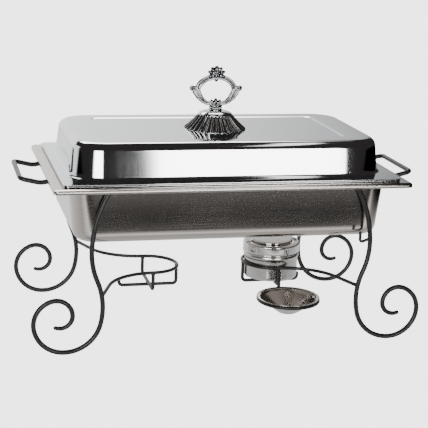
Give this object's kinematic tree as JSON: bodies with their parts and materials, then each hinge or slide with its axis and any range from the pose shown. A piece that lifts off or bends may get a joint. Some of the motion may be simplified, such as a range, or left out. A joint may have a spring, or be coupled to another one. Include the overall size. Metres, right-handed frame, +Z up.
{
  "type": "chafing dish",
  "caption": "Rectangular chafing dish on a scrolled wire stand, with nested pans, lift-off lid with a cast ring handle, fuel holder, flame cover and snuffer.",
  "frame": {"origin": "on the table under the middle of the stand", "axes": "+X along the long side towards the fuel holder, +Y from front to back, +Z up"},
  "size_m": [0.6436, 0.3464, 0.4195],
  "materials": {
    "black_rod": "satin black powder coat on steel rod",
    "brushed_pan": "stainless steel brushed along the walls, polished rim",
    "pan_steel": "satin stainless steel",
    "polished_lid": "mirror-polished stainless steel",
    "finial_chrome": "bright chrome plate on a zinc casting",
    "holder_steel": "stainless steel, brushed cup under a polished collar",
    "snuffer_steel": "polished stainless steel",
    "screw_steel": "plain steel"
  },
  "bodies": {
    "stand": {"top_rail_front": "black_rod", "top_rail_back": "black_rod", "top_rail_left": "black_rod", "top_rail_right": "black_rod", "leg_front_left": "black_rod", "leg_front_right": "black_rod", "leg_back_left": "black_rod", "leg_back_right": "black_rod", "handle_left": "black_rod", "burner_loop_left": "black_rod", "basket_cross_wire_left": "black_rod", "basket_long_wire_left": "black_rod", "handle_right": "black_rod", "burner_loop_right": "black_rod", "basket_cross_wire_right": "black_rod", "basket_long_wire_right": "black_rod", "snuffer_ring": "black_rod", "snuffer_ring_stem": "black_rod", "utensil_hook": "black_rod"},
    "water_pan": {"water_pan": "brushed_pan", "water_pan_rim": "brushed_pan"},
    "food_pan": {"food_pan": "pan_steel", "food_pan_rim": "pan_steel"},
    "lid": {"lid_shell": "polished_lid", "finial_base": "finial_chrome", "finial_collar": "finial_chrome", "finial_ring": "finial_chrome", "finial_bolt": "screw_steel", "finial_washer": "screw_steel"},
    "fuel_holder": {"holder_cup": "holder_steel", "holder_collar": "holder_steel", "holder_shoulder": "holder_steel", "cover_rivet": "screw_steel"},
    "flame_cover": {"holder_cover": "holder_steel"},
    "snuffer": {"snuffer_dish": "snuffer_steel", "snuffer_rivet": "screw_steel"}
  },
  "joints": [
    {"name": "water_pan_lift", "type": "slide", "parent": "stand", "child": "water_pan", "axis": [0, 0, 1], "range_m": [0, 0.15]},
    {"name": "food_pan_lift", "type": "slide", "parent": "water_pan", "child": "food_pan", "axis": [0, 0, 1], "range_m": [0, 0.12]},
    {"name": "lid_lift", "type": "slide", "parent": "food_pan", "child": "lid", "axis": [0, 0, 1], "range_m": [0, 0.2]},
    {"name": "fuel_holder_lift", "type": "slide", "parent": "stand", "child": "fuel_holder", "axis": [0, 0, 1], "range_m": [0, 0.03]},
    {"name": "flame_cover_swing", "type": "hinge", "parent": "fuel_holder", "child": "flame_cover", "pos_m": [0.1445, 0, 0.127], "axis": [0, 0, -1], "range_deg": [0, 110]},
    {"name": "snuffer_lift", "type": "slide", "parent": "stand", "child": "snuffer", "axis": [0, 0, 1], "range_m": [0, 0.08]}
  ]
}
